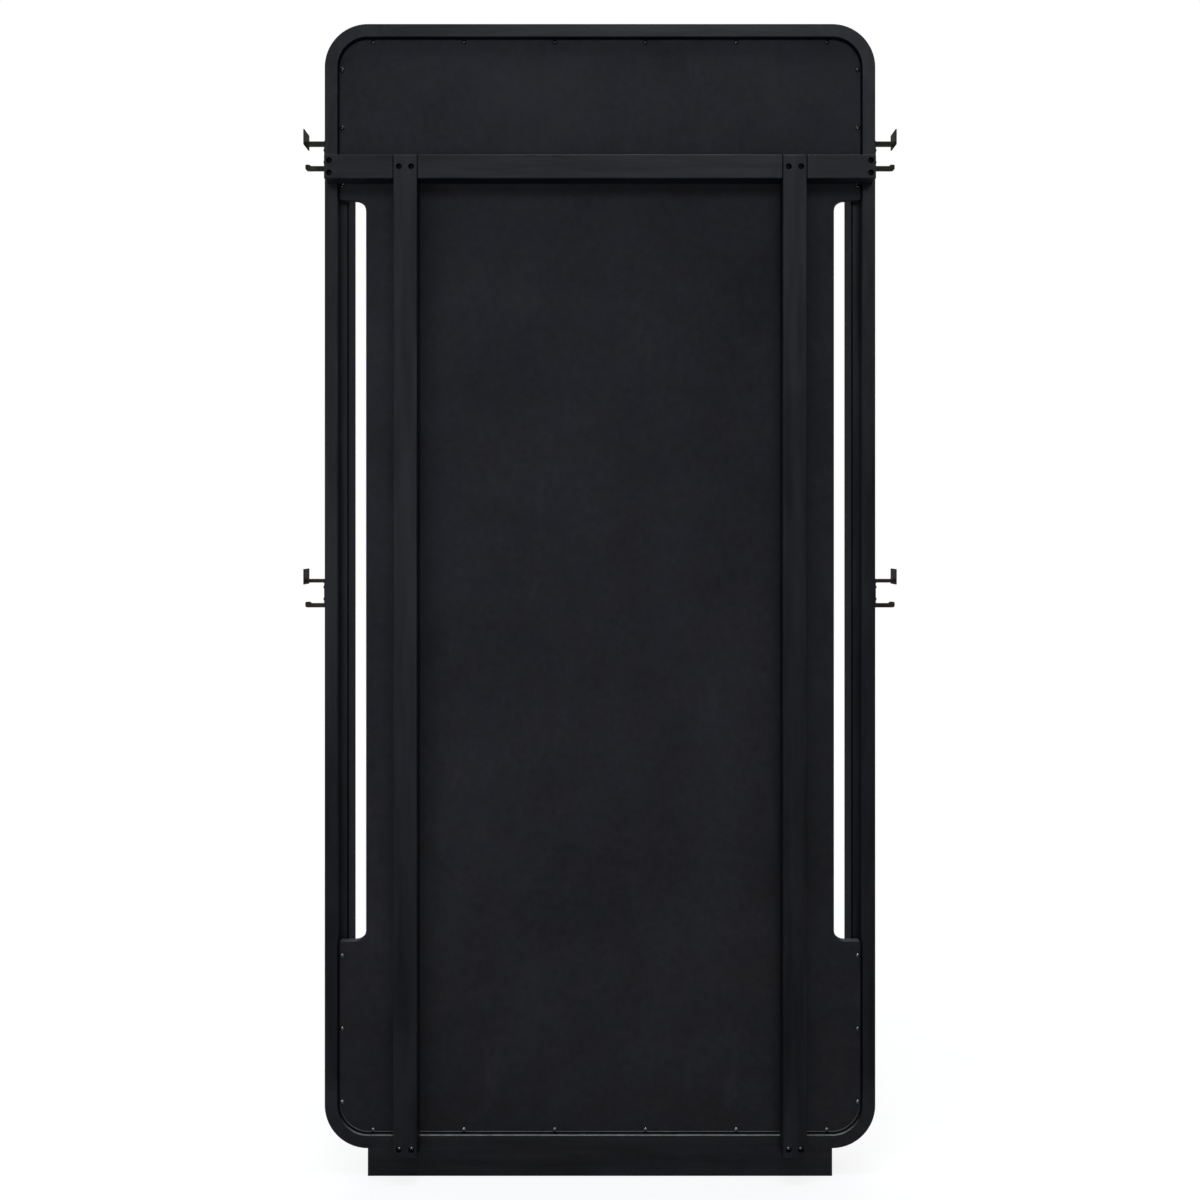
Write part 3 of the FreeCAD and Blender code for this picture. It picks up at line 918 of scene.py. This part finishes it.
def build_brace(name, node):
    """A brace from the side: an upright with its front cut away where it laps over the cross rail."""
    low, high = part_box(node)
    rail_low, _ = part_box("cross_rail")
    shoulder = rail_low.z - lap_gap
    lap = low.y + lap_depth
    corners = [
        (low.y, low.z, batten_corner_radius),
        (high.y, low.z, batten_corner_radius),
        (high.y, shoulder, batten_corner_radius),
        (lap, shoulder, 0),
        (lap, high.z, batten_corner_radius),
        (low.y, high.z, batten_corner_radius),
    ]
    build = bmesh.new()
    slab(build, outline(corners, steps=edge_steps), lambda a, b, depth: Vector((low.x + depth, a, b)),
         high.x - low.x, batten_edge_radius)
    screws = screw_places("brace_lap_screws") + screw_places("brace_foot_screws")
    cutters = recess_cutters(within(screws, low, high))
    piece = dressed(name, combined(name, build, cutters, "DIFFERENCE"), brace_paint, recess_shade)
    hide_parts(node)


def build_base():
    low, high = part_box("base")
    build = bmesh.new()
    corners = rectangle(low.y, low.z, high.y, high.z, base_corner_radius)
    slab(build, outline(corners, steps=edge_steps), lambda a, b, depth: Vector((low.x + depth, a, b)),
         high.x - low.x, base_edge_radius)
    piece = mesh_object("base_board", build, base_paint)
    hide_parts("base")


# Screws

def cross_cutter(diameter, height):
    """The cutter for a cross recess: two crossed wedges that narrow towards their bottom."""
    cutter = bmesh.new()
    half_length = diameter * cross_length_share / 2
    half_arm = diameter * cross_width_share / 2
    bottom = height * (1 - cross_depth_share)
    top = height + cutter_reach
    for turned in (False, True):
        rings = []
        for level, share in ((bottom, cross_taper), (top, 1.0)):
            long, short = half_length * share, half_arm * share
            ring = rectangle(-long, -short, long, short, 0)
            rings.append([Vector((b, a, level) if turned else (a, b, level)) for a, b, _ in ring])
        loft(cutter, rings)
    return cutter


def head_mesh(name, diameter, height, crown):
    """A screw head on the plane z = 0: a domed or flat top with a cross recess."""
    radius = diameter / 2
    side = height * (1 - crown) * head_side_share
    profile = [(0, 0), (radius, 0), (radius, side)]
    for step in range(1, head_rings + 1):
        turn = math.pi / 2 * step / (head_rings + 1)
        profile.append((radius * math.cos(turn), side + (height - side) * math.sin(turn)))
    profile.append((0, height))
    build = bmesh.new()
    revolve(build, profile, head_steps, lambda a, b, level: Vector((a, b, level)))
    return combined(name, build, cross_cutter(diameter, height), "DIFFERENCE", overlapping=True)


def build_screws(name, node, head, outward, slot, dice, *materials):
    """Copies of a head on the seats of a CAD node's screws, each turned its own way.
    Screws in the mirror's lower half have the last of the materials, for the panel a painted-highlight copy."""
    build = bmesh.new()
    for low, high in screw_places(node):
        middle = (low + high) / 2
        facing = outward(middle)
        seat = middle - facing * (abs((high - low).dot(facing)) / 2)
        turn = Matrix.Rotation(dice.uniform(0, 2 * math.pi), 4, "Z")
        face = Vector((0, 0, 1)).rotation_difference(facing).to_matrix().to_4x4()
        copy = head.copy()
        copy.transform(Matrix.Translation(seat) @ face @ turn)
        if seat.z < (frame_bottom + frame_top) / 2:
            copy.polygons.foreach_set("material_index", [len(materials) - 1] * len(copy.polygons))
        build.from_mesh(copy)
        bpy.data.meshes.remove(copy)
    piece = mesh_object(name, build, *materials)
    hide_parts(node)


def build_fasteners():
    def backward(middle):
        return Vector((0, -1, 0))

    def sideways(middle):
        return Vector((math.copysign(1, middle.x), 0, 0))

    dice = random.Random(screw_turn_seed)
    panel_head = head_mesh("panel_head", **panel_head_form)
    batten_head = head_mesh("batten_head", **batten_head_form)
    hook_head = head_mesh("hook_head", **hook_head_form)
    foot_head = head_mesh("foot_head", **foot_head_form)
    build_screws("back_board_screws", "panel_screws", panel_head, backward, "black_screw", dice,
                 screw_black, screw_lit)
    for node in ("cross_rail_screws", "brace_lap_screws"):
        build_screws(node + "_heads", node, batten_head, backward, "batten_screw", dice, screw_shaded)
    build_screws("brace_foot_screws_heads", "brace_foot_screws", foot_head, backward, "batten_screw", dice,
                 screw_lit)
    build_screws("hook_screws_heads", "hook_screws", hook_head, sideways, "hook_bronze", dice, bronze)


# Hooks

def hook_outlines():
    """The outlines of a hook's two arms: a is measured out from the stile, b up from the hook's middle."""
    arm_top = hook_arm_spacing / 2 + upper_arm_thickness / 2
    arm_bottom = arm_top - upper_arm_thickness
    plate_front = hook_plate_thickness
    upper = [
        (plate_front / 2, arm_top, 0),
        (hook_reach - end_plate_thickness / 2, arm_top, 0),
        (hook_reach - end_plate_thickness / 2, arm_bottom, 0),
        (plate_front, arm_bottom, arm_root_radius),
        (plate_front, arm_bottom - 2 * arm_root_radius, 0),
        (plate_front / 2, arm_bottom - 2 * arm_root_radius, 0),
    ]
    low_bottom = -hook_arm_spacing / 2 - lower_arm_thickness / 2
    low_top = low_bottom + lower_arm_thickness
    tip_start = hook_reach - tip_length
    lower = [
        (plate_front / 2, low_bottom, 0),
        (hook_reach, low_bottom, lower_arm_thickness / 2),
        (hook_reach, low_top + tip_rise, tip_radius),
        (tip_start, low_top + tip_rise, tip_radius),
        (tip_start - tip_slope, low_top, arm_root_radius),
        (plate_front, low_top, arm_root_radius),
        (plate_front, low_top + 2 * arm_root_radius, 0),
        (plate_front / 2, low_top + 2 * arm_root_radius, 0),
    ]
    return upper, lower


def build_hook(name, node, side):
    """A double hook: a mounting plate, an upper arm with an end plate and a lower arm with a raised tip."""
    low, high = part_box(node)
    middle_y = (low.y + high.y) / 2
    middle_z = high.z - end_plate_height + end_plate_overhang - hook_arm_spacing / 2
    stile = side * half_width

    def across(arm_width):
        near = middle_y - arm_width / 2
        return lambda a, b, depth: Vector((stile + side * a, near + depth, middle_z + b))

    def outward(start):
        return lambda a, b, depth: Vector((stile + side * (start + depth), middle_y + a, middle_z + b))

    upper, lower = hook_outlines()
    plate_top = hook_arm_spacing / 2 + upper_arm_thickness / 2
    plate_bottom = -hook_arm_spacing / 2 - lower_arm_thickness / 2
    half_plate = hook_plate_width / 2
    half_end = end_plate_width / 2
    end_bottom = hook_arm_spacing / 2 - end_plate_overhang
    end_top = end_bottom + end_plate_height
    plate = bmesh.new()
    slab(plate, outline(rectangle(-half_plate, plate_bottom, half_plate, plate_top, hook_plate_radius)),
         outward(0), hook_plate_thickness, plate_edge_radius)
    others = bmesh.new()
    slab(others, outline(upper), across(upper_arm_width), upper_arm_width, arm_edge_radius)
    slab(others, outline(lower), across(lower_arm_width), lower_arm_width, arm_edge_radius)
    slab(others, outline(rectangle(-half_end, end_bottom, half_end, end_top, end_plate_radius)),
         outward(hook_reach - end_plate_thickness), end_plate_thickness, plate_edge_radius)
    piece = dressed(name, combined(name, plate, others, "UNION", overlapping=True), bronze)
    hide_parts(node)


def build_hidden():
    """What hardly shows keeps its CAD shape and gets its material."""
    for node, material in (("mirror_tape", foam_white), ("frame_tenons", beech)):
        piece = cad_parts[node]
        piece.data.materials.clear()
        piece.data.materials.append(material)


# Stage

def floor_material(name):
    """A pale diffuse surface, lifted to white where it is lit and far away, and pale in the mirror."""
    paint = Paint(name)
    seen = paint.backdrop_share(paint.between(paint.place["Y"], 0.0, floor_mirrored, floor_mirrored_span))
    away = paint.length(paint.place["X"], paint.place["Y"])
    lift = paint.between(away, floor_lift_near, floor_lift_far, floor_near_far)
    glow = paint.add("ShaderNodeEmission", Strength=paint.product(seen, lift)).outputs["Emission"]
    tint = paint.ramp(paint.noise(**floor_cloud), (scaled(floor_colour, floor_mottle), floor_colour))
    matt = paint.add("ShaderNodeBsdfDiffuse", Color=tint).outputs["BSDF"]
    total = paint.tree.nodes.new("ShaderNodeAddShader")
    for socket, shader in zip(total.inputs, (glow, matt)):
        paint.feed(socket, shader)
    paint.feed(paint.output.inputs["Surface"], total.outputs["Shader"])
    return paint.material


def build_floor():
    build = bmesh.new()
    bmesh.ops.create_circle(build, cap_ends=True, segments=floor_segments, radius=floor_radius)
    mesh = bpy.data.meshes.new("floor")
    build.to_mesh(mesh)
    build.free()
    floor = bpy.data.objects.new("floor", mesh)
    bpy.context.scene.collection.objects.link(floor)
    mesh.materials.append(floor_material("floor_white"))


def build_surround():
    """A studio that is bright beyond the mirror, and white to the camera."""
    world = bpy.data.worlds.new("studio")
    bpy.context.scene.world = world
    world.use_nodes = True
    nodes = Nodes(world.node_tree)
    direction = nodes.axes(nodes.add("ShaderNodeTexCoord").outputs["Generated"])
    level = nodes.between(direction["Y"], ambient_front, ambient_back, ambient_span)
    seen = nodes.backdrop_share(nodes.between(direction["Y"], 0.0, 1.0, ambient_mirrored_span))
    unseen = nodes.product(level, nodes.math("SUBTRACT", 1.0, seen))
    background = world.node_tree.nodes["Background"]
    nodes.feed(background.inputs["Color"], white)
    nodes.feed(background.inputs["Strength"], nodes.math("ADD", unseen, seen))


def area_light(name, place, target, size, radiance, colour=cool_light, mirrored=True, diffused=True):
    """A soft rectangular lamp that looks at a target. It may be left out of mirrored or of diffuse light."""
    lamp = bpy.data.lights.new(name, "AREA")
    lamp.shape = "RECTANGLE"
    lamp.size, lamp.size_y = size
    lamp.energy = radiance * math.pi * lamp.size * lamp.size_y
    lamp.color = colour
    holder = bpy.data.objects.new(name, lamp)
    bpy.context.scene.collection.objects.link(holder)
    holder.visible_glossy = mirrored
    holder.visible_diffuse = diffused
    holder.visible_camera = False
    holder.location = place
    holder.rotation_euler = (Vector(target) - Vector(place)).to_track_quat("-Z", "Y").to_euler()


def build_camera():
    """Looks level along +Y at the mirror's back."""
    camera = bpy.data.cameras.new("camera")
    camera.sensor_width = camera_sensor * millimetres
    camera.lens = camera_focal * millimetres
    camera.shift_y = picture_shift / picture_size
    holder = bpy.data.objects.new("camera", camera)
    bpy.context.scene.collection.objects.link(holder)
    holder.location = camera_place
    holder.rotation_euler = (math.pi / 2, 0, 0)
    bpy.context.scene.camera = holder


build_frame()
build_panel()
build_glass()
build_cross_rail()
build_brace("back_left_brace", "left_brace")
build_brace("back_right_brace", "right_brace")
build_base()
build_fasteners()
for level in ("upper", "lower"):
    for hand, hand_side in (("left", -1), ("right", 1)):
        build_hook(f"{level}_{hand}_coat_hook", f"{level}_{hand}_hook", hand_side)
build_hidden()
build_floor()
build_surround()
for lamp_name, lamp_values in lamps.items():
    area_light(lamp_name, **lamp_values)
build_camera()
bpy.context.scene.view_settings.view_transform = "Standard"
